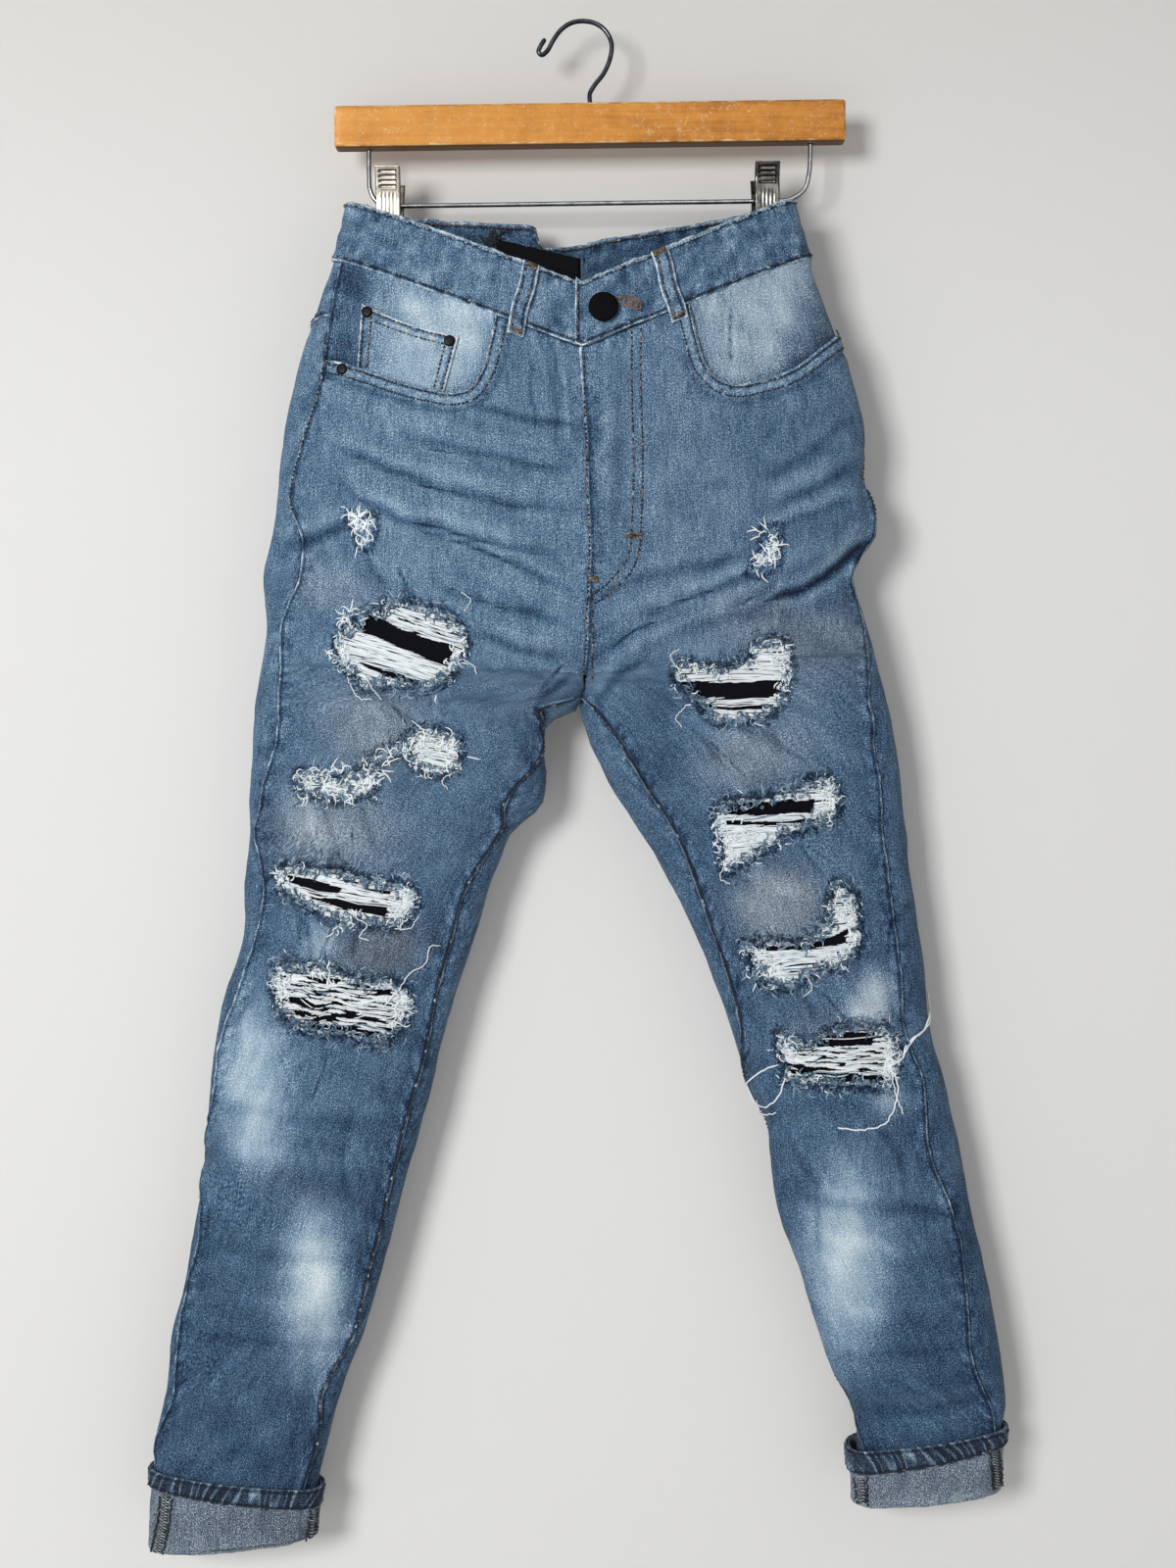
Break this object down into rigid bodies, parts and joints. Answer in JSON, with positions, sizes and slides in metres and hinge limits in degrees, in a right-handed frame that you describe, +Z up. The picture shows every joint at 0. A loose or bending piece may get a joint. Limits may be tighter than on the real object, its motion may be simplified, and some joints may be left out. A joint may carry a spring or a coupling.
{
  "type": "ripped jeans on a clip hanger",
  "caption": "Slim washed denim jeans, torn at thighs and knees over black cloth, cuffs turned up, hung by the waistband from a wooden clip hanger.",
  "frame": {"origin": "inner top of the hanger's hook, where it sits on a peg or rail", "axes": "+Z up along the hanging garment, -Y out of its front, +X to the wearer's left"},
  "size_m": [0.5905, 0.0859, 1.0533],
  "materials": {
    "denim": "mid blue cotton twill, faded and whiskered",
    "denim_pale": "the same twill washed nearly white",
    "denim_reverse": "the greyish weft side of the twill",
    "denim_dark": "roped hem, dark with worn ridges",
    "threads_white": "loose bleached weft threads",
    "topstitch": "grey and tan sewing thread",
    "backing_black": "matt black knit",
    "label_black": "black woven satin, blank",
    "button_black": "black enamelled metal",
    "rivet_dark": "blackened metal, rubbed at the rim",
    "wood_varnished": "orange-brown varnish, scratched and worn pale at the edges",
    "steel_bright": "polished plated steel",
    "steel_dark": "dark polished steel"
  },
  "bodies": {
    "root": {"back_left": "denim", "back_pocket_left": "denim", "back_pocket_right": "denim", "back_right": "denim", "backing_knee_left": "backing_black", "backing_knee_low_left": "backing_black", "backing_knee_low_right": "backing_black", "backing_knee_right": "backing_black", "backing_thigh_left": "backing_black", "backing_thigh_low_left": "backing_black", "backing_thigh_low_right": "backing_black", "backing_thigh_right": "backing_black", "belt_loop_back_centre": "denim", "belt_loop_back_left": "denim", "belt_loop_back_right": "denim", "belt_loop_front_left": "denim", "belt_loop_front_right": "denim", "clip_left_back": "steel_bright", "clip_left_front": "steel_bright", "clip_right_back": "steel_bright", "clip_right_front": "steel_bright", "coin_pocket": "denim", "cuff_left": "denim_reverse", "cuff_right": "denim_reverse", "front_left": "denim", "front_right": "denim", "hanger_bar": "wood_varnished", "hanger_hook": "steel_dark", "hanger_wire": "steel_bright", "hem_left": "denim_dark", "hem_right": "denim_dark", "pocket_facing_left": "denim_pale", "pocket_facing_right": "denim_pale", "rivet_1": "rivet_dark", "rivet_2": "rivet_dark", "rivet_3": "rivet_dark", "waist_button": "button_black", "waist_label": "label_black", "waistband": "denim", "yoke_left": "denim", "yoke_right": "denim"}
  },
  "joints": []
}
